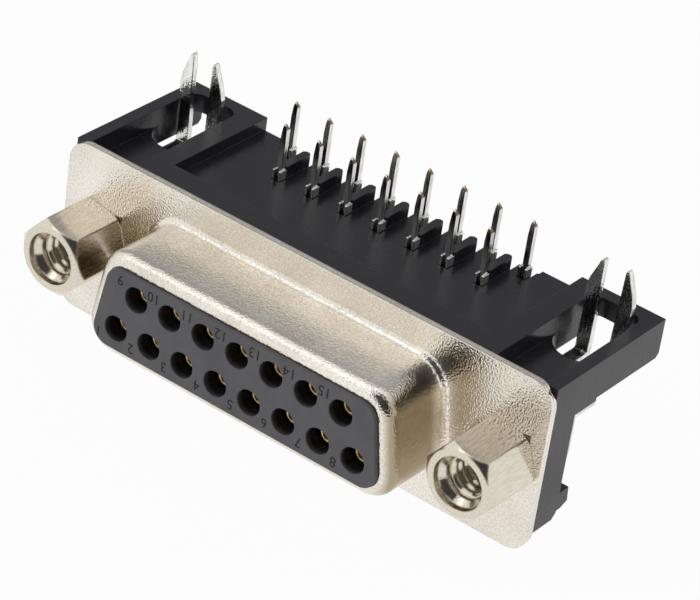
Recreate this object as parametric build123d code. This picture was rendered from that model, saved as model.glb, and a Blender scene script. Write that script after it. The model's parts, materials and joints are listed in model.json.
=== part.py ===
from build123d import *
from math import cos, radians, sqrt, tan
import os

# A right-angle D-shaped socket connector for a circuit board, fifteen contacts in two rows.
# Millimetres. X runs along the connector, the mating face looks towards -Y, the board side is +Z.
# The origin lies midway between the two screws, on the front plane of the flange.

# Contact grid
contact_pitch = 2.77
row_spacing = 2.84
wide_row_count = 8
narrow_row_count = 7
narrow_row_tail_y = 8.06
wide_row_tail_y = narrow_row_tail_y + row_spacing

# D outline, measured where the turned-in lip ends
d_half_height = 3.0
d_side_margin = 1.555
d_half_width = (wide_row_count - 1) / 2 * contact_pitch + d_side_margin
d_lean = 10.0
d_corner = 1.2

# Sheet-metal shells
sheet = 0.25
screw_offset = 5.4
screw_spacing = 2 * (d_half_width + screw_offset)
screw_clearance_hole = 3.2
flange_end = 2.92
flange_width = screw_spacing + 2 * flange_end
flange_height = 12.5
flange_corner = 1.6
shell_depth = 5.53
lip_radius = 0.93
base_bend = 0.55
rear_skirt_depth = 2.1
rear_step = 0.13
flat_bend = 2 - sqrt(2)

# Insulators
nose_stand = 0.31
face_y = -shell_depth - nose_stand
fit_gap = 0.03
entry_diameter = 1.82
entry_sides = 24
contact_setback = 1.3

# Contacts
socket_outer = 1.44
socket_inner = 1.04
socket_sides = 16
socket_web = 0.49
tine_slot_width = 0.24
tine_root = 0.7
tail_thickness = 0.3
tail_root_width = 0.68
tail_leg_width = 0.42
tail_leg_depth = 0.44
tail_prong_width = 0.18
tail_prong_depth = 0.22
tail_shoulder_z = 5.88
tail_tip_z = 9.4
tail_bend = 0.7

# Moulded bracket behind the flange
bracket_inset = 0.12
bracket_half_width = flange_width / 2 - bracket_inset
wall_front = 2 * sheet
wall_thickness = 2.65
wall_rear = wall_front + wall_thickness
wall_bottom = -4.85
board_face_z = 6.03
arm_underside_z = 3.2
arm_pad = 0.25
arm_pad_rear = 5.45
arm_pad_width = 5.6
latch_width = 1.1
latch_reach = 1.13
latch_root = 0.44
latch_lean = 0.13
latch_top_z = -2.95
latch_heel_z = -4.06
latch_low_z = -4.33
bracket_rear = 12.4
arm_outer_wall = 0.95
arm_inner_wall = 1.6
recess_front = 2.7
recess_floor_z = 5.15
recess_rear = 12.2
rib_width = 0.6
rib_front = 8.3
rib_rear = 10.95
rib_end_bevel = 0.17
rib_notch_front = 10.75
comb_rear = 11.75
comb_margin = 0.5
pocket_width = 3.9
pocket_centre = bracket_half_width - arm_outer_wall - pocket_width / 2
recess_half_width = pocket_centre - pocket_width / 2 - arm_inner_wall
pocket_rear = 11.4
pocket_floor_z = 4.65
pocket_corner = 1.0
slot_front = 5.8
tail_play = 0.04

# Board locks bent from strip
lock_centre = screw_spacing / 2
lock_sheet = 0.42
lock_plate_width = 5.3
lock_hole = 3.2
lock_wide_end = 5.7
lock_neck_width = 3.3
lock_leg_y = 9.76
lock_leg_gap = 1.38
lock_tip_z = 9.87
lock_barb = 0.1
lock_outer_lean = 0.22

# Screwlocks and nuts
hex_flats = 4.76
hex_length = 4.62
hex_turn_left = 49
hex_turn_right = 52
hex_face_diameter = 4.54
hex_foot_bevel = 0.25
hex_mouth_diameter = 3.66
hex_mouth_straight = 0.45
hex_mouth_depth = 0.9
thread_diameter = 2.84
thread_web = 0.35
thread_depth = hex_length - thread_web
thread_gap = 0.03
nut_diameter = 3.8
nut_thickness = 0.8
stud_past_nut = 0.3
stud_bevel = 0.3
stud_end = wall_rear + lock_sheet + nut_thickness + stud_past_nut


def block(x0, x1, y0, y1, z0, z1):
    """A box between two corners."""
    centre = Pos((x0 + x1) / 2, (y0 + y1) / 2, (z0 + z1) / 2)
    return centre * Box(abs(x1 - x0), abs(y1 - y0), abs(z1 - z0))


def along_y(face, y0, y1):
    """A drawing in X and Z, carried from y0 back to y1."""
    plane = Plane(origin=(0, y1, 0), x_dir=(1, 0, 0), z_dir=(0, -1, 0))
    return extrude(plane * face, y1 - y0)


def along_z(face, z0, z1):
    """A drawing in X and Y, carried from z0 up to z1."""
    return extrude(Pos(0, 0, z0) * face, z1 - z0)


def along_x(face, width, x=0.0):
    """A drawing in Y and Z, centred on x and this wide."""
    return extrude(Plane.YZ.offset(x) * face, width / 2, both=True)


def rod(diameter, y0, y1, x=0.0, z=0.0):
    """A cylinder along Y."""
    return Pos(x, (y0 + y1) / 2, z) * Rot(90, 0, 0) * Cylinder(diameter / 2, abs(y1 - y0))


def many_sided(diameter, sides, y0, y1, x, z):
    """A bar along Y with enough equal sides to pass for round."""
    return along_y(Pos(x, z) * RegularPolygon(diameter / 2, sides), y0, y1)


def funnel(front_diameter, rear_diameter, y0, y1, x, z):
    """A cone along Y, given at its front and rear ends."""
    turn = Rot(-90, 0, 0)
    return Pos(x, (y0 + y1) / 2, z) * turn * Cone(front_diameter / 2, rear_diameter / 2, y1 - y0)


def polygon(points):
    """A flat face with these corners."""
    return make_face(Polyline(*points, close=True))


def edges_where(shape, test):
    """The edges whose middle passes a test."""
    return [edge for edge in shape.edges() if test(edge.center())]


def foot_edges(shape, y):
    """The edges where a D skirt meets the flange plane at y."""
    high = d_half_height + lip_radius + 0.1
    wide = screw_spacing / 2 - screw_clearance_hole / 2
    return edges_where(shape, lambda c: abs(c.Y - y) < 1e-4 and abs(c.Z) < high and abs(c.X) < wide)


def d_outline(grow):
    """The D outline, grown by a distance; its wide side is at -Z."""
    height = d_half_height + grow
    side = d_half_width + grow / cos(radians(d_lean))
    lean = height * tan(radians(d_lean))
    face = polygon([
        (-side - lean, -height),
        (side + lean, -height),
        (side - lean, height),
        (-side + lean, height),
    ])
    return fillet(face.vertices(), d_corner + grow)


def flange_outline():
    """The flat rim both shells share."""
    return RectangleRounded(flange_width, flange_height, flange_corner)


def screw_holes():
    """The two holes that the screwlocks pass through."""
    holes = []
    for side in (-1, 1):
        holes.append(rod(screw_clearance_hole, -1, 2, side * screw_spacing / 2))
    return holes


def front_shell():
    """The drawn front shell: flange, D skirt and a lip turned in round the socket face."""
    skirt = along_y(d_outline(lip_radius), -shell_depth, sheet)
    skirt = fillet(skirt.faces().sort_by(Axis.Y)[0].edges(), lip_radius - 0.005)
    body = skirt + along_y(flange_outline(), 0, sheet)
    body = fillet(foot_edges(body, 0), base_bend)
    inside = along_y(d_outline(lip_radius - sheet), sheet - shell_depth, sheet)
    inside = chamfer(inside.faces().sort_by(Axis.Y)[0].edges(), flat_bend * (lip_radius - sheet))
    inside = inside + along_y(flange_outline(), sheet, sheet + 1)
    inside = chamfer(foot_edges(inside, sheet), flat_bend * (base_bend + sheet))
    opening = along_y(d_outline(fit_gap), -shell_depth - 1, 1 - shell_depth)
    return body - inside - opening - screw_holes()


def rear_shell():
    """The rear shell: a second flange sheet with a short skirt that reaches into the bracket."""
    grow = lip_radius - sheet - rear_step
    back = 2 * sheet
    body = along_y(d_outline(grow), sheet, back + rear_skirt_depth) + along_y(flange_outline(), sheet, back)
    inside = along_y(d_outline(grow - sheet), sheet - 1, back + rear_skirt_depth + 1)
    return body - inside - screw_holes()


def contact_places():
    """Number, x, z and tail y of every contact."""
    places = []
    for index in range(wide_row_count):
        x = (index - (wide_row_count - 1) / 2) * contact_pitch
        places.append((index + 1, x, -row_spacing / 2, wide_row_tail_y))
    for index in range(narrow_row_count):
        x = (index - (narrow_row_count - 1) / 2) * contact_pitch
        places.append((wide_row_count + index + 1, x, row_spacing / 2, narrow_row_tail_y))
    return places


def front_insulator():
    """The moulded face with its fifteen holes, held behind the shell's lip."""
    nose = along_y(d_outline(0), face_y, 2 * sheet - shell_depth)
    grow = lip_radius - sheet - fit_gap
    body = along_y(d_outline(grow), sheet + fit_gap - shell_depth, sheet)
    body = chamfer(body.faces().sort_by(Axis.Y)[0].edges(), flat_bend * (lip_radius - sheet))
    cuts = []
    for number, x, z, tail_y in contact_places():
        cuts.append(many_sided(entry_diameter, entry_sides, face_y - 1, sheet + 1, x, z))
    return (nose + body) - cuts


def rear_insulator():
    """The rear half of the socket body, inside the rear shell, with a slot for every strip."""
    grow = lip_radius - 2 * sheet - rear_step - 2 * fit_gap
    body = along_y(d_outline(grow), sheet, wall_rear)
    wide = tail_root_width / 2 + fit_gap
    high = tail_thickness / 2 + fit_gap
    cuts = []
    for number, x, z, tail_y in contact_places():
        cuts.append(block(x - wide, x + wide, 0, wall_rear + 1, z - high, z + high))
    return body - cuts


def contact(x, z, tail_y):
    """One socket contact: a slotted tube and a strip turned up to the board."""
    front = face_y + contact_setback
    tube = many_sided(socket_outer, socket_sides, front, sheet, x, z)
    bore_end = sheet - socket_web
    bore = many_sided(socket_inner, socket_sides, front - 1, bore_end, x, z)
    half = tine_slot_width / 2
    slot = block(x - half, x + half, front - 1, bore_end - tine_root, z - socket_outer, z + socket_outer)
    half = tail_thickness / 2
    rear = tail_y + tail_leg_depth / 2
    strip = polygon([
        (bore_end + socket_web / 2, z - half),
        (rear, z - half),
        (rear, tail_shoulder_z - 0.5),
        (rear - tail_thickness, tail_shoulder_z - 0.5),
        (rear - tail_thickness, z + half),
        (bore_end + socket_web / 2, z + half),
    ])
    outer = [v for v in strip.vertices() if v.X > tail_y and v.Y < z]
    strip = chamfer(outer, flat_bend * (tail_bend + tail_thickness))
    inner = [v for v in strip.vertices() if abs(v.X - rear + tail_thickness) < 1e-3 and v.Y < z + half + 1e-3]
    strip = chamfer(inner, flat_bend * tail_bend)
    strip = along_x(strip, tail_root_width, x)
    return (tube - bore - slot) + strip + tail(x, tail_y)


def tail(x, tail_y):
    """The upright end of a contact: two prongs, a thicker leg behind them and a sheared tip."""
    leg = tail_leg_width / 2
    root = tail_root_width / 2
    face = tail_y - tail_leg_depth / 2
    rear = tail_y + tail_leg_depth / 2
    tip = tail_tip_z
    front = polygon([
        (x - leg, tail_shoulder_z - 0.7),
        (x + leg, tail_shoulder_z - 0.7),
        (x + leg, tip - 0.5),
        (x + leg - 0.09, tip),
        (x + leg - 0.23, tip),
        (x - leg + 0.07, tip - 0.45),
        (x - leg, tip - 1.2),
    ])
    shear = polygon([
        (face - 0.1, tail_shoulder_z - 1),
        (rear + 0.1, tail_shoulder_z - 1),
        (rear + 0.1, tip - 0.7),
        (face + 0.06, tip),
        (face - 0.1, tip - 0.5),
    ])
    upright = along_y(front, face, rear) & along_x(shear, 2, x)
    for side in (-1, 1):
        inner = x + side * (root - tail_prong_width)
        outer = x + side * root
        prong_y = face - tail_prong_depth
        upright = upright + block(inner, outer, prong_y, rear, tail_shoulder_z - 0.9, tail_shoulder_z)
    return upright


def lock_pocket():
    """The pocket in an arm's board face, open at the flange and round at the rear."""
    left = pocket_centre - pocket_width / 2
    right = pocket_centre + pocket_width / 2
    plan = polygon([
        (left, wall_front - 1),
        (right, wall_front - 1),
        (right, pocket_rear),
        (left, pocket_rear),
    ])
    plan = fillet(plan.vertices().sort_by(Axis.Y)[-2:], pocket_corner)
    return along_z(plan, pocket_floor_z, board_face_z + 1)


def lock_slot():
    """The slot under the pocket: round in front, open at the rear, for the lock's legs."""
    radius = pocket_width / 2
    round_end = Pos(pocket_centre, slot_front + radius) * Circle(radius)
    length = bracket_rear + 1 - slot_front - radius
    straight = Pos(pocket_centre, slot_front + radius + length / 2) * Rectangle(pocket_width, length)
    return along_z(round_end + straight, arm_underside_z - 1, pocket_floor_z + 0.001)


def comb_cuts():
    """Openings for the tails: holes in the near row, open slots and notches at the rear."""
    cuts = []
    low = arm_underside_z - 1
    high = board_face_z + 1
    wide = tail_root_width / 2 + tail_play
    deep = tail_leg_depth / 2 + tail_play
    for number, x, z, tail_y in contact_places():
        front = tail_y - deep - tail_prong_depth
        if tail_y == narrow_row_tail_y:
            cuts.append(block(x - wide, x + wide, front, tail_y + deep, low, recess_floor_z + 1))
            half = rib_width / 2 + 0.05
            cuts.append(block(x - half, x + half, rib_notch_front, bracket_rear + 1, low, high))
        else:
            cuts.append(block(x - wide, x + wide, front, bracket_rear + 1, low, high))
    comb = (wide_row_count - 1) / 2 * contact_pitch + comb_margin
    cuts.append(block(-comb, comb, comb_rear, bracket_rear + 1, low, high))
    cuts.append(block(-recess_half_width, recess_half_width, recess_rear, bracket_rear + 1, low, high))
    return cuts


def ribs():
    """Raised ribs between the far tails, each with its rear corners taken off."""
    bars = []
    for number, x, z, tail_y in contact_places():
        if tail_y == narrow_row_tail_y:
            half = rib_width / 2
            plan = polygon([
                (x - half, rib_front),
                (x + half, rib_front),
                (x + half, rib_rear - rib_end_bevel),
                (x + half - rib_end_bevel, rib_rear),
                (x - half + rib_end_bevel, rib_rear),
                (x - half, rib_rear - rib_end_bevel),
            ])
            bars.append(along_z(plan, arm_underside_z, board_face_z))
    return bars


def pin_bracket():
    """The moulded L: a wall behind the flange and a board-side plate with two arms."""
    side = bracket_half_width
    wall = block(-side, side, wall_front, wall_rear, wall_bottom, board_face_z)
    plate = block(-side, side, wall_rear - 0.5, bracket_rear, arm_underside_z, board_face_z)
    body = wall + plate
    low_rear = edges_where(body, lambda c: abs(c.Y - wall_rear) < 1e-3 and abs(c.Z - wall_bottom) < 1e-3)
    body = chamfer(low_rear, 0.4)
    arm_end = edges_where(body, lambda c: abs(c.Y - bracket_rear) < 1e-3 and abs(c.Z - arm_underside_z) < 1e-3)
    body = chamfer(arm_end, 0.3)
    corner = edges_where(body, lambda c: abs(c.Y - wall_rear) < 1e-3 and abs(c.Z - arm_underside_z) < 1e-3)
    body = fillet(corner, 0.3)
    skirt_hole = along_y(d_outline(lip_radius - sheet - rear_step + 2 * fit_gap), 0, wall_rear + 1)
    skirt_hole = skirt_hole + along_y(d_outline(lip_radius + 0.4), 0, wall_front + 0.45)
    body = body - skirt_hole
    recess = block(-recess_half_width, recess_half_width, recess_front, bracket_rear + 1,
                   recess_floor_z, board_face_z + 1)
    body = body - recess
    body = body - comb_cuts()
    body = body + ribs()
    for turn in (0, 1):
        for cut in (lock_pocket(), lock_slot(), rod(screw_clearance_hole, 0, wall_rear + 1, lock_centre)):
            body = body - (mirror(cut, Plane.YZ) if turn else cut)
        latch = polygon([
            (wall_rear - latch_lean, latch_top_z),
            (wall_rear + latch_reach - latch_lean, latch_top_z),
            (wall_rear + latch_reach, latch_heel_z),
            (wall_rear + latch_root, latch_low_z),
            (wall_rear - latch_lean, latch_low_z),
        ])
        nib = along_x(latch, latch_width, side - latch_width / 2)
        pad = block(side - arm_pad_width, side, wall_rear - 0.2, arm_pad_rear,
                    arm_underside_z - arm_pad, arm_underside_z + 0.1)
        for extra in (nib, pad):
            body = body + (mirror(extra, Plane.YZ) if turn else extra)
    return body


def boardlock():
    """A strip lock: plate on the screw, strap under the arm, forked and barbed legs."""
    x = lock_centre
    t = lock_sheet
    wide = lock_plate_width / 2
    plate_y = wall_rear
    strap_z = arm_underside_z - arm_pad - t
    leg_front = lock_leg_y - t / 2
    leg_back = lock_leg_y + t / 2
    leg_start = strap_z + t + 0.6
    bend = polygon([
        (plate_y, -wide - 0.2),
        (plate_y + t, -wide - 0.2),
        (plate_y + t, strap_z),
        (leg_back, strap_z),
        (leg_back, leg_start),
        (leg_front, leg_start),
        (leg_front, strap_z + t),
        (plate_y, strap_z + t),
    ])
    points = bend.vertices()
    inner = [v for v in points if (abs(v.X - plate_y - t) < 1e-3 and abs(v.Y - strap_z) < 1e-3)
             or (abs(v.X - leg_front) < 1e-3 and abs(v.Y - strap_z - t) < 1e-3)]
    bend = fillet(inner, 0.2)
    outer = [v for v in bend.vertices() if (abs(v.X - plate_y) < 1e-3 and abs(v.Y - strap_z - t) < 1e-3)
             or (abs(v.X - leg_back) < 1e-3 and abs(v.Y - strap_z) < 1e-3)]
    bend = fillet(outer, 0.2 + t)
    strip = along_x(bend, lock_plate_width, x)
    lower = block(x - wide - 1, x + wide + 1, plate_y - 1, plate_y + 1.5, -wide - 1, 0)
    lower = lower - rod(lock_plate_width, plate_y - 2, plate_y + 2, x)
    neck = lock_neck_width / 2
    fork = lock_leg_gap / 2
    trims = [lower, rod(lock_hole, plate_y - 1, plate_y + 2, x)]
    for side in (-1, 1):
        edge = polygon([
            (x + side * neck, lock_wide_end + 0.5),
            (x + side * (neck + 0.5), lock_wide_end),
            (x + side * 4, lock_wide_end),
            (x + side * 4, leg_back + 1),
            (x + side * neck, leg_back + 1),
        ])
        trims.append(along_z(edge, strap_z - 1, leg_start + 1))
    round_end = Pos(x, leg_front - 1.2) * Circle(fork)
    gap = round_end + Pos(x, leg_front) * Rectangle(lock_leg_gap, 2.4)
    trims.append(along_z(gap, strap_z - 1, leg_start + 1))
    strip = strip - trims
    return strip + lock_legs(leg_start)


def lock_legs(start):
    """Two upright legs, side by side; the outer one leans out, and the barbs point apart."""
    legs = None
    t = lock_sheet
    neck = lock_neck_width / 2
    fork = lock_leg_gap / 2
    tip = lock_tip_z
    for side, lean in ((-1, 0.0), (1, lock_outer_lean)):
        points = [
            (fork, start - 0.3, 0.0),
            (neck, start - 0.3, 0.0),
            (neck - 0.05, tip - 3.55, 0.2),
            (neck + lock_barb - 0.02, tip - 2.95, 0.35),
            (neck + lock_barb, tip - 2.4, 0.4),
            (neck - 0.12, tip - 1.55, 0.75),
            (fork + 0.42, tip - 0.5, 1.0),
            (fork + 0.3, tip - 0.13, 1.0),
            (fork + 0.17, tip, 1.0),
            (fork + 0.04, tip - 0.05, 1.0),
            (fork, tip - 0.3, 1.0),
        ]
        outline = polygon([(lock_centre + side * (out + lean * share), z) for out, z, share in points])
        leg = along_y(outline, lock_leg_y - t / 2, lock_leg_y + t / 2)
        legs = leg if legs is None else legs + leg
    return legs


def hexagon_bar(x, turn):
    """A hexagon bar along Y, turned to a bevel at both ends."""
    bar = along_y(Pos(x, 0) * Rot(0, 0, turn) * RegularPolygon(hex_flats / 2, 6, major_radius=False), -hex_length, 0)
    corner = hex_flats / sqrt(3) * 1.0002
    round_bar = rod(2 * corner, -hex_length, 0, x)
    ends = round_bar.edges().filter_by(GeomType.CIRCLE).sort_by(Axis.Y)
    round_bar = chamfer(ends[-1], hex_foot_bevel)
    ends = round_bar.edges().filter_by(GeomType.CIRCLE).sort_by(Axis.Y)
    round_bar = chamfer(ends[0], corner - hex_face_diameter / 2)
    return bar & round_bar


def screwlock(x, turn):
    """A hexagon screwlock: threaded socket in front, threaded stud behind."""
    head = hexagon_bar(x, turn)
    stud = rod(thread_diameter, -thread_web, stud_end, x)
    stud = chamfer(stud.edges().sort_by(Axis.Y)[-1], stud_bevel)
    straight = hex_mouth_straight - hex_length
    seat = hex_mouth_depth - hex_length
    mouth = rod(hex_mouth_diameter, -hex_length - 1, straight, x)
    sink = funnel(hex_mouth_diameter, thread_diameter, straight, seat, x, 0)
    bore = rod(thread_diameter, straight, thread_depth - hex_length, x)
    return head + stud - mouth - sink - bore


def nut(x):
    """The round nut clinched in the board lock, that the screwlock is driven into."""
    front = wall_rear + lock_sheet
    collar = rod(nut_diameter, front, front + nut_thickness, x)
    return collar - rod(thread_diameter + 2 * thread_gap, front - 1, front + nut_thickness + 1, x)


def all_pieces():
    """Every piece under its name."""
    pieces = {
        "front_shell": front_shell(),
        "rear_shell": rear_shell(),
        "front_insulator": front_insulator(),
        "rear_insulator": rear_insulator(),
        "pin_bracket": pin_bracket(),
    }
    for number, x, z, tail_y in contact_places():
        pieces[f"contact_{number:02d}"] = contact(x, z, tail_y)
    lock = boardlock()
    pieces["boardlock_right"] = lock
    pieces["boardlock_left"] = mirror(lock, Plane.YZ)
    pieces["screwlock_left"] = screwlock(-screw_spacing / 2, hex_turn_left)
    pieces["screwlock_right"] = screwlock(screw_spacing / 2, hex_turn_right)
    pieces["nut_left"] = nut(-screw_spacing / 2)
    pieces["nut_right"] = nut(screw_spacing / 2)
    return pieces


os.makedirs("parts", exist_ok=True)
for name, shape in all_pieces().items():
    export_step(shape, f"parts/{name}.step")
    print(name, f"{shape.volume:.2f} mm3", len(shape.solids()), "solid")
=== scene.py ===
# %% [markdown]
# This is a socket connector that is soldered flat on a circuit board: a drawn metal D
# shell, a dark moulded face with fifteen holes, a glossy moulded bracket behind it, and
# tinned tails that point up to the board. The shapes come from the CAD frame. This lesson
# adds what CAD leaves out: threads, moulded numbers, softened edges and finishes.

# %% Load the frame
import json
import math
import bpy
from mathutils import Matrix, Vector


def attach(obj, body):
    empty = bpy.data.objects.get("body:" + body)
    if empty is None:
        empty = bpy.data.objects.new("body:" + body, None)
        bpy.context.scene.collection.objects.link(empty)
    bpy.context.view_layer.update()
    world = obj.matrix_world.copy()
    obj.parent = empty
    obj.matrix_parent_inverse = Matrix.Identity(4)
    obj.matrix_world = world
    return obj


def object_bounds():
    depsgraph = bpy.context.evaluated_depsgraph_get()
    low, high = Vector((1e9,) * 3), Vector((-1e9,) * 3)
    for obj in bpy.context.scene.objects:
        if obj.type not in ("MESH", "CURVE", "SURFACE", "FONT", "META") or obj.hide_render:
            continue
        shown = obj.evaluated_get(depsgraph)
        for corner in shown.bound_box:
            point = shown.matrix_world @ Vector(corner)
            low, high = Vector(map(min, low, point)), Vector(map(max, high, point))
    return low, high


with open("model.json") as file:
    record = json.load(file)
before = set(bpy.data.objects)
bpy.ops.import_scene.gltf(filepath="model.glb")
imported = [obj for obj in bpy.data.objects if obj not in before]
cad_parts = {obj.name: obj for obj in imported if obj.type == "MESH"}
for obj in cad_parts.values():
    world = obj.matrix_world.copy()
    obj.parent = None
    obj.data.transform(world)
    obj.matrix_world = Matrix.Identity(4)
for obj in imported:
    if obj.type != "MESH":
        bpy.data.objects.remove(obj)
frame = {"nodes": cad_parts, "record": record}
cad_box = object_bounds()
nodes = frame["nodes"]
scene = bpy.context.scene

mm = 0.001
contact_pitch = 2.77 * mm
row_height = 1.42 * mm
screw_spacing = 33.3 * mm
face_y = -5.84 * mm
print("nodes", len(nodes), "box", [round(v, 5) for corner in cad_box for v in corner])

# %% [markdown]
# The photograph was taken with a long lens from the right, above and in front. A long lens
# keeps the long edges of the connector nearly parallel. The camera is placed by its centre
# and its turn, and a very small shift stands for a picture cut slightly off centre.

# %% Camera
camera_data = bpy.data.cameras.new("camera")
camera = bpy.data.objects.new("camera", camera_data)
scene.collection.objects.link(camera)
camera.location = (0.103276, -0.150969, 0.118454)
camera.rotation_euler = (math.radians(57.5727), math.radians(-7.3639), math.radians(37.8998))
camera_data.sensor_fit = "HORIZONTAL"
camera_data.sensor_width = 36.0
camera_data.lens = 175.653
camera_data.shift_x = -0.00722
camera_data.shift_y = 0.00281
camera_data.clip_start = 0.01
camera_data.clip_end = 10.0
scene.camera = camera
scene.view_settings.view_transform = "Standard"
print("camera", [round(v, 4) for v in camera.location])

# %% [markdown]
# Nodes are laid out by small helpers, so that each finish reads like a recipe. One helper
# adds a node and sets its inputs, and another joins two sockets. The others do arithmetic,
# mix colours, stretch a range, split a vector and measure how far a vector points one way.

# %% Node helpers
def add_node(tree, kind, **values):
    node = tree.nodes.new(kind)
    for name, value in values.items():
        if name in node.inputs:
            node.inputs[name].default_value = value
        else:
            setattr(node, name, value)
    return node


def join(tree, output, socket):
    tree.links.new(output, socket)


def math_node(tree, operation, first, second=None, clamp=False):
    node = tree.nodes.new("ShaderNodeMath")
    node.operation = operation
    node.use_clamp = clamp
    for socket, value in zip(node.inputs, (first, second)):
        if value is None:
            continue
        if isinstance(value, (int, float)):
            socket.default_value = value
        else:
            tree.links.new(value, socket)
    return node.outputs[0]


def mix_colour(tree, factor, first, second):
    node = tree.nodes.new("ShaderNodeMix")
    node.data_type = "RGBA"
    sockets = (node.inputs[0], node.inputs[6], node.inputs[7])
    for socket, value in zip(sockets, (factor, first, second)):
        if isinstance(value, (int, float)):
            socket.default_value = value
        elif isinstance(value, tuple):
            socket.default_value = (*value, 1.0)
        else:
            tree.links.new(value, socket)
    return node.outputs[2]


def spread(tree, value, low, high, out_low=0.0, out_high=1.0):
    node = tree.nodes.new("ShaderNodeMapRange")
    tree.links.new(value, node.inputs["Value"])
    node.inputs["From Min"].default_value = low
    node.inputs["From Max"].default_value = high
    node.inputs["To Min"].default_value = out_low
    node.inputs["To Max"].default_value = out_high
    return node.outputs["Result"]


def split(tree, vector):
    node = tree.nodes.new("ShaderNodeSeparateXYZ")
    join(tree, vector, node.inputs[0])
    return node.outputs


def surface_normal(tree):
    return tree.nodes.new("ShaderNodeNewGeometry").outputs["Normal"]


def along(tree, vector, direction):
    node = tree.nodes.new("ShaderNodeVectorMath")
    node.operation = "DOT_PRODUCT"
    join(tree, vector, node.inputs[0])
    node.inputs[1].default_value = direction
    return node.outputs["Value"]


def seen_directly(tree):
    rays = tree.nodes.new("ShaderNodeLightPath").outputs
    seen = math_node(tree, "ADD", rays["Is Camera Ray"], rays["Is Glossy Ray"], clamp=True)
    return math_node(tree, "ADD", seen, rays["Is Transmission Ray"], clamp=True)


print("helpers ready")

# %% [markdown]
# Three effects are shared by several finishes, so each is a node group with named sockets:
# a fine grain such as satin plating has, long streaks such as brushing or drawing leaves,
# and soft blotches such as handling leaves. Groups give out values only. The shader stays
# in the material.

# %% Shared effect groups
def new_group(name, inputs, outputs):
    group = bpy.data.node_groups.new(name, "ShaderNodeTree")
    for label, kind, value in inputs:
        socket = group.interface.new_socket(name=label, in_out="INPUT", socket_type=kind)
        if value is not None:
            socket.default_value = value
    for label in outputs:
        group.interface.new_socket(name=label, in_out="OUTPUT", socket_type="NodeSocketFloat")
    entry = group.nodes.new("NodeGroupInput")
    leave = group.nodes.new("NodeGroupOutput")
    return group, entry, leave


def make_grain():
    group, entry, leave = new_group(
        "fine grain",
        [("Place", "NodeSocketVector", None), ("Size", "NodeSocketFloat", 5000.0)],
        ["Height", "Speckle"],
    )
    coarse = add_node(group, "ShaderNodeTexNoise", Detail=0.0)
    fine = add_node(group, "ShaderNodeTexNoise", Detail=0.0)
    join(group, entry.outputs["Place"], coarse.inputs["Vector"])
    join(group, entry.outputs["Place"], fine.inputs["Vector"])
    join(group, entry.outputs["Size"], coarse.inputs["Scale"])
    join(group, math_node(group, "MULTIPLY", entry.outputs["Size"], 1.9), fine.inputs["Scale"])
    small = math_node(group, "MULTIPLY", fine.outputs[0], 0.45)
    both = math_node(group, "ADD", coarse.outputs[0], small)
    join(group, both, leave.inputs["Height"])
    join(group, spread(group, both, 0.52, 0.93), leave.inputs["Speckle"])
    return group


def make_streaks():
    group, entry, leave = new_group(
        "drawn streaks",
        [("Place", "NodeSocketVector", None), ("Stretch", "NodeSocketVector", (1.0, 1.0, 1.0)),
         ("Size", "NodeSocketFloat", 3000.0)],
        ["Height", "Bands"],
    )
    scale = group.nodes.new("ShaderNodeVectorMath")
    scale.operation = "MULTIPLY"
    join(group, entry.outputs["Place"], scale.inputs[0])
    join(group, entry.outputs["Stretch"], scale.inputs[1])
    lines = add_node(group, "ShaderNodeTexNoise", Detail=1.0, Roughness=0.5)
    join(group, scale.outputs[0], lines.inputs["Vector"])
    join(group, entry.outputs["Size"], lines.inputs["Scale"])
    join(group, lines.outputs[0], leave.inputs["Height"])
    join(group, spread(group, lines.outputs[0], 0.38, 0.62), leave.inputs["Bands"])
    return group


def make_blotches():
    group, entry, leave = new_group(
        "soft blotches",
        [("Place", "NodeSocketVector", None), ("Size", "NodeSocketFloat", 250.0)],
        ["Mask"],
    )
    noise = add_node(group, "ShaderNodeTexNoise", Detail=3.0, Roughness=0.5, Distortion=0.4)
    join(group, entry.outputs["Place"], noise.inputs["Vector"])
    join(group, entry.outputs["Size"], noise.inputs["Scale"])
    join(group, spread(group, noise.outputs[0], 0.35, 0.68), leave.inputs["Mask"])
    return group


fine_grain = make_grain()
drawn_streaks = make_streaks()
soft_blotches = make_blotches()
print("groups", [g.name for g in (fine_grain, drawn_streaks, soft_blotches)])

# %% [markdown]
# Every finish starts the same way: a Principled shader, the piece's own Object coordinates,
# and a Bump node that the grain feeds. A Bevel node under the bump rounds the edges as the
# light sees them, which works where edges lie too close together for a Bevel modifier.

# %% Finish helpers
def new_finish(name, metallic, roughness, bump_distance, edge):
    material = bpy.data.materials.new(name)
    material.use_nodes = True
    tree = material.node_tree
    shader = tree.nodes["Principled BSDF"]
    shader.inputs["Metallic"].default_value = metallic
    shader.inputs["Roughness"].default_value = roughness
    place = tree.nodes.new("ShaderNodeTexCoord").outputs["Object"]
    bump = add_node(tree, "ShaderNodeBump", Strength=1.0, Distance=bump_distance)
    rounded = add_node(tree, "ShaderNodeBevel", samples=6, Radius=edge * mm)
    join(tree, rounded.outputs[0], bump.inputs["Normal"])
    join(tree, bump.outputs[0], shader.inputs["Normal"])
    return material, tree, shader, place, bump


def use_group(tree, group, place, **values):
    node = tree.nodes.new("ShaderNodeGroup")
    node.node_tree = group
    join(tree, place, node.inputs["Place"])
    for name, value in values.items():
        node.inputs[name].default_value = value
    return node


def roughen(tree, shader, mask, low, high):
    join(tree, spread(tree, mask, 0.0, 1.0, low, high), shader.inputs["Roughness"])


print("finish helpers ready")
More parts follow.
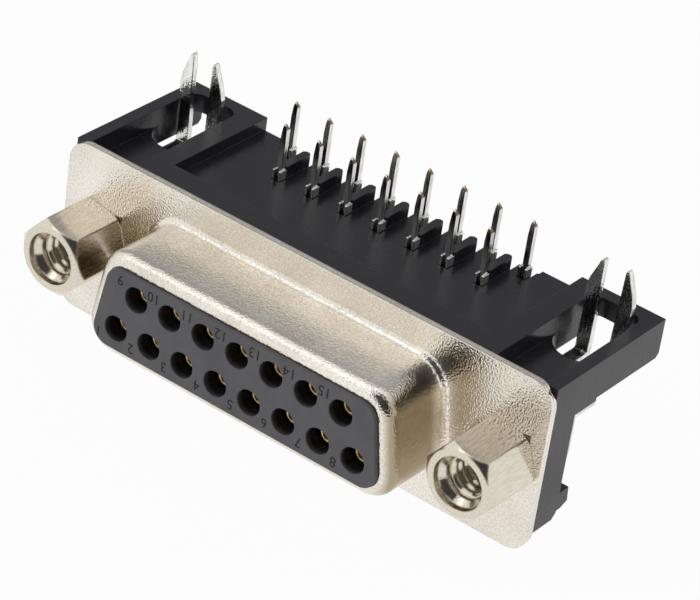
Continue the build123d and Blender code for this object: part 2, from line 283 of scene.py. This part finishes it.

# %% [markdown]
# The shells are steel with satin nickel plate. Nickel is a warm grey. On the sideways faces
# of the skirt a darker brown is painted in, a painted reflection of the flange. The plate
# has a fine sandy grain, so its colour and its bump both read the grain group.

# %% Plated shell finish
def make_plated_shell():
    material, tree, shader, place, bump = new_finish("plated_shell", 1.0, 0.16, 0.000022, 0.1)
    grain = use_group(tree, fine_grain, place, Size=7000.0)
    patches = use_group(tree, soft_blotches, place, Size=160.0)
    mottle = math_node(tree, "ADD", patches.outputs["Mask"], grain.outputs["Speckle"])
    mottle = math_node(tree, "MULTIPLY", mottle, 0.5)
    colour = mix_colour(tree, mottle, (0.65, 0.602, 0.525), (0.93, 0.885, 0.81))
    facing = split(tree, surface_normal(tree))
    sideways = spread(tree, math_node(tree, "ABSOLUTE", facing["X"]), 0.3, 0.75)
    on_skirt = spread(tree, split(tree, place)["Y"], -0.6 * mm, -1.4 * mm)
    # painted reflection of the flange: the skirt's sideways faces are painted a darker brown
    skirt_painted_reflection = math_node(tree, "MULTIPLY", sideways, on_skirt)
    colour = mix_colour(tree, skirt_painted_reflection, colour, (0.4, 0.33, 0.23))
    join(tree, colour, shader.inputs["Base Color"])
    roughen(tree, shader, patches.outputs["Mask"], 0.12, 0.19)
    join(tree, grain.outputs["Height"], bump.inputs["Height"])
    return material


plated_shell = make_plated_shell()
print("finish", plated_shell.name)

# %% [markdown]
# The hexagons are turned from bar, plated the same way, and tumbled. They show short
# scratches along the bar, so their bump reads the streaks stretched along Y.

# %% Plated hexagon finish
def make_plated_hex():
    material, tree, shader, place, bump = new_finish("plated_hex", 1.0, 0.14, 0.000003, 0.22)
    streaks = use_group(tree, drawn_streaks, place, Stretch=(1.0, 0.12, 1.0), Size=9000.0)
    grain = use_group(tree, fine_grain, place, Size=7000.0)
    colour = mix_colour(tree, streaks.outputs["Bands"], (0.66, 0.598, 0.495), (0.75, 0.688, 0.585))
    join(tree, colour, shader.inputs["Base Color"])
    roughen(tree, shader, streaks.outputs["Bands"], 0.1, 0.18)
    relief = math_node(tree, "ADD", streaks.outputs["Height"], grain.outputs["Height"])
    join(tree, relief, bump.inputs["Height"])
    return material


plated_hex = make_plated_hex()
print("finish", plated_hex.name)

# %% [markdown]
# The board locks are bent from tinned strip. Tin is a cooler white than nickel, and rolling
# and forming leave long streaks along the legs, with dull patches between.

# %% Tinned strip finish
def make_tinned_strip():
    material, tree, shader, place, bump = new_finish("tinned_strip", 1.0, 0.16, 0.000015, 0.12)
    streaks = use_group(tree, drawn_streaks, place, Stretch=(1.0, 1.0, 0.3), Size=3600.0)
    grain = use_group(tree, fine_grain, place, Size=6800.0)
    patches = use_group(tree, soft_blotches, place, Size=900.0)
    colour = mix_colour(tree, streaks.outputs["Bands"], (0.68, 0.67, 0.64), (0.86, 0.85, 0.82))
    join(tree, colour, shader.inputs["Base Color"])
    roughen(tree, shader, patches.outputs["Mask"], 0.1, 0.24)
    relief = math_node(tree, "ADD", streaks.outputs["Height"], grain.outputs["Height"])
    join(tree, relief, bump.inputs["Height"])
    return material


tinned_strip = make_tinned_strip()
print("finish", tinned_strip.name)

# %% [markdown]
# One contact has three finishes: gold in the socket, bright tin on the tail, and bare
# copper alloy where the tip was sheared off. They are told apart by place: gold ahead of
# the wall, copper on faces near the tip that look up or to the right.

# %% Contact finish
def make_contact_metal():
    material, tree, shader, place, bump = new_finish("contact_metal", 1.0, 0.16, 0.000008, 0.08)
    where = split(tree, place)
    facing = split(tree, surface_normal(tree))
    streaks = use_group(tree, drawn_streaks, place, Stretch=(1.0, 1.0, 0.2), Size=5000.0)
    tin = mix_colour(tree, streaks.outputs["Bands"], (0.6, 0.59, 0.56), (0.8, 0.79, 0.76))
    in_socket = math_node(tree, "LESS_THAN", where["Y"], 0.0)
    plated = mix_colour(tree, in_socket, tin, (0.86, 0.62, 0.25))
    high = math_node(tree, "GREATER_THAN", where["Z"], 8.92 * mm)
    up = math_node(tree, "GREATER_THAN", facing["Z"], 0.45)
    outward = math_node(tree, "GREATER_THAN", facing["X"], 0.5)
    sheared = math_node(tree, "MULTIPLY", high, math_node(tree, "MAXIMUM", up, outward))
    colour = mix_colour(tree, sheared, plated, (0.25, 0.17, 0.08))
    join(tree, colour, shader.inputs["Base Color"])
    rough = spread(tree, streaks.outputs["Bands"], 0.0, 1.0, 0.1, 0.22)
    rough = math_node(tree, "ADD", rough, math_node(tree, "MULTIPLY", in_socket, 0.16))
    rough = math_node(tree, "ADD", rough, math_node(tree, "MULTIPLY", sheared, 0.3))
    join(tree, rough, shader.inputs["Roughness"])
    join(tree, streaks.outputs["Height"], bump.inputs["Height"])
    return material


contact_metal = make_contact_metal()
print("finish", contact_metal.name)

# %% [markdown]
# The socket face is a dark glass-filled moulding with a matt, slightly mottled skin. From
# just behind its front face, in the holes, the colour is painted nearly black: a painted shade.
# The bracket is moulded in a glossier grade: its flat faces mirror the tails as dark streaks.
# Both are nearly black, and what is seen of them is mostly the sheen of a white room.

# %% Plastic finishes
def make_socket_plastic():
    material, tree, shader, place, bump = new_finish("socket_plastic", 0.0, 0.42, 0.00001, 0.06)
    grain = use_group(tree, fine_grain, place, Size=5200.0)
    patches = use_group(tree, soft_blotches, place, Size=350.0)
    colour = mix_colour(tree, patches.outputs["Mask"], (0.105, 0.101, 0.109), (0.13, 0.126, 0.134))
    # painted shade: the face is painted nearly black from just behind its front, in the holes
    inside = spread(tree, split(tree, place)["Y"], -5.79 * mm, -5.3 * mm)
    colour = mix_colour(tree, inside, colour, (0.02, 0.019, 0.021))
    join(tree, colour, shader.inputs["Base Color"])
    roughen(tree, shader, grain.outputs["Speckle"], 0.36, 0.5)
    join(tree, grain.outputs["Height"], bump.inputs["Height"])
    return material


def make_bracket_plastic():
    material, tree, shader, place, bump = new_finish("bracket_plastic", 0.0, 0.28, 0.000008, 0.07)
    shader.inputs["IOR"].default_value = 1.43
    grain = use_group(tree, fine_grain, place, Size=4200.0)
    patches = use_group(tree, soft_blotches, place, Size=280.0)
    dark, light = (0.012, 0.0105, 0.017), (0.018, 0.016, 0.024)
    colour = mix_colour(tree, patches.outputs["Mask"], dark, light)
    join(tree, colour, shader.inputs["Base Color"])
    roughen(tree, shader, patches.outputs["Mask"], 0.22, 0.33)
    join(tree, grain.outputs["Height"], bump.inputs["Height"])
    return material


socket_plastic = make_socket_plastic()
bracket_plastic = make_bracket_plastic()
print("finishes", socket_plastic.name, bracket_plastic.name)

# %% [markdown]
# A CAD node keeps its mesh, and gets its finish in its material slots. The record says which
# slot each node takes.

# %% Finishes on the CAD nodes
finishes = {
    "plated_shell": plated_shell,
    "plated_hex": plated_hex,
    "tinned_strip": tinned_strip,
    "contact_metal": contact_metal,
    "socket_plastic": socket_plastic,
    "bracket_plastic": bracket_plastic,
}
slot_of = {part["node"]: part["material_slot"] for part in frame["record"]["subparts"]}


def give_finish(piece, material):
    piece.data.materials.clear()
    piece.data.materials.append(material)


for name, node in nodes.items():
    give_finish(node, finishes[slot_of[name]])
print("finished", len(nodes), "nodes")

# %% [markdown]
# No real edge is a knife edge: moulding and tumbling round it, and the rounding is what
# catches the light. A Bevel modifier does that after a Weld modifier has joined the loose
# triangles. The modifiers stay live, so the mesh of the node itself is untouched.

# %% Softened edges
def soften(node, width):
    weld = node.modifiers.new("join triangles", "WELD")
    weld.merge_threshold = 0.000001
    bevel = node.modifiers.new("soft edge", "BEVEL")
    bevel.width = width
    bevel.segments = 2
    bevel.limit_method = "ANGLE"
    bevel.angle_limit = math.radians(35)


edge_widths = {"pin_bracket": 0.05, "nut": 0.1, "contact": 0.05, "front_insulator": 0.05}
for name, node in nodes.items():
    for family, width in edge_widths.items():
        if name.startswith(family):
            soften(node, width * mm)
print("softened", [node.name for node in nodes.values() if node.modifiers][:4], "and more")

# %% [markdown]
# The screwlocks are tapped. A thread is a ridge wound round the wall of the hole: its
# section is drawn once as a small trapezium, and a Screw modifier winds it along the axis.
# The two open ends are then filled, so that the ridge is a closed body.

# %% Threads in the screwlocks
def select_only(piece):
    bpy.ops.object.select_all(action="DESELECT")
    piece.select_set(True)
    bpy.context.view_layer.objects.active = piece


thread_start = -3.7 * mm
thread_length = 3.3 * mm
thread_wall = 1.43 * mm
thread_crest = 1.1 * mm
thread_pitch = 0.635 * mm


def wind_thread(name, x):
    bpy.ops.object.select_all(action="DESELECT")
    bpy.ops.mesh.primitive_circle_add(vertices=4, radius=0.5, fill_type="NOTHING")
    ridge = bpy.context.object
    ridge.name = name
    half_root = thread_pitch * 0.48
    half_crest = thread_pitch * 0.07
    corners = [
        (thread_wall, half_root),
        (thread_crest, half_crest),
        (thread_crest, -half_crest),
        (thread_wall, -half_root),
    ]
    for vertex, (radius, height) in zip(ridge.data.vertices, corners):
        vertex.co = (radius, 0.0, height)
    wind = ridge.modifiers.new("wind", "SCREW")
    wind.axis = "Z"
    wind.angle = 2 * math.pi
    wind.screw_offset = thread_pitch
    wind.iterations = int(thread_length / thread_pitch)
    wind.steps = 48
    wind.render_steps = 48
    wind.use_merge_vertices = False
    wind.use_normal_calculate = True
    select_only(ridge)
    bpy.ops.object.modifier_apply(modifier=wind.name)
    bpy.ops.object.mode_set(mode="EDIT")
    bpy.ops.mesh.select_all(action="SELECT")
    bpy.ops.mesh.remove_doubles(threshold=0.0000005)
    bpy.ops.mesh.fill_holes(sides=4)
    bpy.ops.mesh.select_all(action="SELECT")
    bpy.ops.mesh.normals_make_consistent(inside=False)
    bpy.ops.object.mode_set(mode="OBJECT")
    ridge.rotation_euler = (math.radians(-90), 0.0, 0.0)
    ridge.location = (x, thread_start + half_root, 0.0)
    select_only(ridge)
    bpy.ops.object.transform_apply(location=True, rotation=True, scale=True)
    bpy.ops.object.shade_smooth_by_angle(angle=math.radians(30))
    give_finish(ridge, plated_hex)
    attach(ridge, "root")
    return ridge


for side, x in (("left", -screw_spacing / 2), ("right", screw_spacing / 2)):
    thread = wind_thread(f"thread_{side}", x)
    print(thread.name, [round(v * 1000, 2) for v in thread.dimensions])

# %% [markdown]
# Deep in each hole of the face sits the mouth of a socket. It is rolled smooth, so that a
# pin finds its way in, and this gold roll is what glints in the dark hole. A small ring of
# points is wound once round the axis, and the ring is copied to the other fourteen holes.

# %% Rolled socket mouths
def contact_place(number):
    if number <= 8:
        return (number - 4.5) * contact_pitch, -row_height
    return (number - 12) * contact_pitch, row_height


roll_radius = 0.13 * mm
mouth_radius = 0.62 * mm
mouth_y = -4.55 * mm
bpy.ops.object.select_all(action="DESELECT")
bpy.ops.mesh.primitive_circle_add(vertices=10, radius=roll_radius, fill_type="NOTHING")
roll = bpy.context.object
bpy.ops.object.mode_set(mode="EDIT")
bpy.ops.mesh.select_all(action="SELECT")
bpy.ops.transform.translate(value=(mouth_radius, 0.0, 0.0))
bpy.ops.mesh.spin(steps=24, angle=2 * math.pi, center=(0.0, 0.0, 0.0), axis=(0.0, 1.0, 0.0))
bpy.ops.mesh.select_all(action="SELECT")
bpy.ops.mesh.remove_doubles(threshold=0.0000005)
bpy.ops.mesh.normals_make_consistent(inside=False)
bpy.ops.object.mode_set(mode="OBJECT")
bpy.ops.object.shade_smooth()
print("one mouth", [round(v * 1000, 2) for v in roll.dimensions], len(roll.data.polygons), "faces")

rolls = [roll]
for number in range(2, 16):
    twin = roll.copy()
    twin.data = roll.data.copy()
    scene.collection.objects.link(twin)
    rolls.append(twin)
for number, piece in enumerate(rolls, start=1):
    x, z = contact_place(number)
    piece.location = (x, mouth_y, z)
bpy.ops.object.select_all(action="DESELECT")
for piece in rolls:
    piece.select_set(True)
bpy.context.view_layer.objects.active = roll
bpy.ops.object.transform_apply(location=True, rotation=True, scale=True)
bpy.ops.object.join()
mouths = bpy.context.object
mouths.name = "socket_mouths"
give_finish(mouths, contact_metal)
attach(mouths, "root")
print("mouths", [round(v * 1000, 2) for v in mouths.dimensions])

# %% [markdown]
# Each hole carries its number, moulded into the face beside it. The numbers read the right
# way up when the board is below, so here they stand upside down. They are set as text,
# thickened, turned into a mesh and sunk into the face, which is the foremost plane of the
# part, until only 0.002 mm shows. Their strokes are painted near black with a weak sheen,
# a painted shade that stands for the shaded sides of the moulded strokes.

# %% Moulded numbers
number_painted_shade = socket_plastic.copy()
number_painted_shade.name = "number_strokes_painted_shade"
shader = number_painted_shade.node_tree.nodes["Principled BSDF"]
for link in list(shader.inputs["Base Color"].links):
    number_painted_shade.node_tree.links.remove(link)
# painted shade: the number strokes are painted near black to stand for their shaded sides
shader.inputs["Base Color"].default_value = (0.01, 0.01, 0.012, 1.0)
shader.inputs["Specular IOR Level"].default_value = 0.25
number_depth = 0.01 * mm
number_stand = 0.002 * mm


def set_number(text, x, z):
    bpy.ops.object.select_all(action="DESELECT")
    bpy.ops.object.text_add()
    label = bpy.context.object
    label.data.body = text
    label.data.size = 1.05 * mm
    label.data.extrude = number_depth
    label.data.offset = 0.004 * mm
    label.data.align_x = "CENTER"
    label.data.align_y = "CENTER"
    label.data.resolution_u = 3
    bpy.ops.object.convert(target="MESH")
    label = bpy.context.object
    label.location = (x, face_y + number_depth - number_stand, z)
    label.rotation_euler = (math.radians(90), math.radians(180), 0.0)
    bpy.ops.object.transform_apply(location=True, rotation=True, scale=True)
    return label


labels = []
for number in range(1, 16):
    x, z = contact_place(number)
    above = -0.81 * mm if number <= 8 else 0.89 * mm
    labels.append(set_number(str(number), x - 1.4 * mm, z + above))
bpy.ops.object.select_all(action="DESELECT")
for label in labels:
    label.select_set(True)
bpy.context.view_layer.objects.active = labels[0]
bpy.ops.object.join()
numbers = bpy.context.object
numbers.name = "contact_numbers"
give_finish(numbers, number_painted_shade)
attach(numbers, "root")
print("numbers", [round(v * 1000, 2) for v in numbers.dimensions])

# %% [markdown]
# The floor is a plain pale sheet under the flange. To the camera it shines white, and it
# keeps a faint shadow. Metal mirrors the same white.

# %% Floor
bpy.ops.object.select_all(action="DESELECT")
bpy.ops.mesh.primitive_plane_add(size=4.0, location=(0.0, 0.0, cad_box[0][2] - 0.00001))
floor = bpy.context.object
floor.name = "floor"
floor_material = bpy.data.materials.new("pale_floor")
floor_material.use_nodes = True
tree = floor_material.node_tree
tree.nodes.clear()
matt = add_node(tree, "ShaderNodeBsdfDiffuse", Color=(0.9, 0.9, 0.9, 1.0))
shine = add_node(tree, "ShaderNodeEmission", Color=(1.0, 1.0, 1.0, 1.0), Strength=1.0)
share = math_node(tree, "MULTIPLY", seen_directly(tree), 0.96)
blend = tree.nodes.new("ShaderNodeMixShader")
join(tree, share, blend.inputs[0])
join(tree, matt.outputs[0], blend.inputs[1])
join(tree, shine.outputs[0], blend.inputs[2])
leave = tree.nodes.new("ShaderNodeOutputMaterial")
join(tree, blend.outputs[0], leave.inputs["Surface"])
give_finish(floor, floor_material)
print("floor at", round(floor.location.z * 1000, 3), "mm")

# %% [markdown]
# The light is a pale room. It is brightest at the front left, a little above the part, and
# dims towards the back right. The camera and the metal both see it as plain white. A small
# lamp at the bright side gives the rounded edges their highlights.

# %% World and lamp
world = bpy.data.worlds.new("white room")
scene.world = world
world.use_nodes = True
tree = world.node_tree
tree.nodes.clear()
way = tree.nodes.new("ShaderNodeTexCoord").outputs["Generated"]
bright_side = (-0.35, -0.88, 0.32)
level = spread(tree, along(tree, way, bright_side), -1.0, 1.0, 0.22, 1.12)
tone = mix_colour(tree, seen_directly(tree), level, (1.0, 1.0, 1.0))
room = add_node(tree, "ShaderNodeBackground", Strength=1.0)
join(tree, tone, room.inputs["Color"])
leave = tree.nodes.new("ShaderNodeOutputWorld")
join(tree, room.outputs[0], leave.inputs["Surface"])


def soft_lamp(name, location, size, power):
    data = bpy.data.lights.new(name, "AREA")
    data.shape = "RECTANGLE"
    data.size, data.size_y = size
    data.energy = power
    lamp = bpy.data.objects.new(name, data)
    scene.collection.objects.link(lamp)
    lamp.location = location
    lamp.rotation_euler = (-Vector(location)).to_track_quat("-Z", "Y").to_euler()
    return lamp


key = soft_lamp("lamp above left", (-0.22, -0.24, 0.36), (0.14, 0.14), 0.045)
print("lamp", key.name)

# %% [markdown]
# Plated metal that mirrors nothing but white looks like grey paper, so two cards stand round
# the part, as in a studio: a black one behind the camera and a grey one at the back. They
# are out of the camera's sight, and the metal mirrors them.

# %% Cards to mirror
def set_card(name, centre, radius, grey_level):
    bpy.ops.object.select_all(action="DESELECT")
    bpy.ops.mesh.primitive_circle_add(vertices=64, radius=radius, fill_type="NGON")
    card = bpy.context.object
    card.name = name
    card.location = centre
    card.rotation_euler = (-Vector(centre)).to_track_quat("Z", "Y").to_euler()
    card.visible_camera = False
    material = bpy.data.materials.new(name)
    material.use_nodes = True
    tree = material.node_tree
    tree.nodes.clear()
    grey = (grey_level, grey_level, grey_level, 1.0)
    paint = add_node(tree, "ShaderNodeEmission", Color=grey, Strength=1.0)
    leave = tree.nodes.new("ShaderNodeOutputMaterial")
    join(tree, paint.outputs[0], leave.inputs["Surface"])
    give_finish(card, material)
    return card


black_card = set_card("black_card", (0.928, -1.416, 1.064), 1.58, 0.06)
grey_card = set_card("grey_card", (-0.9, 1.4, 1.1), 1.9, 0.42)
print("cards", black_card.name, grey_card.name)
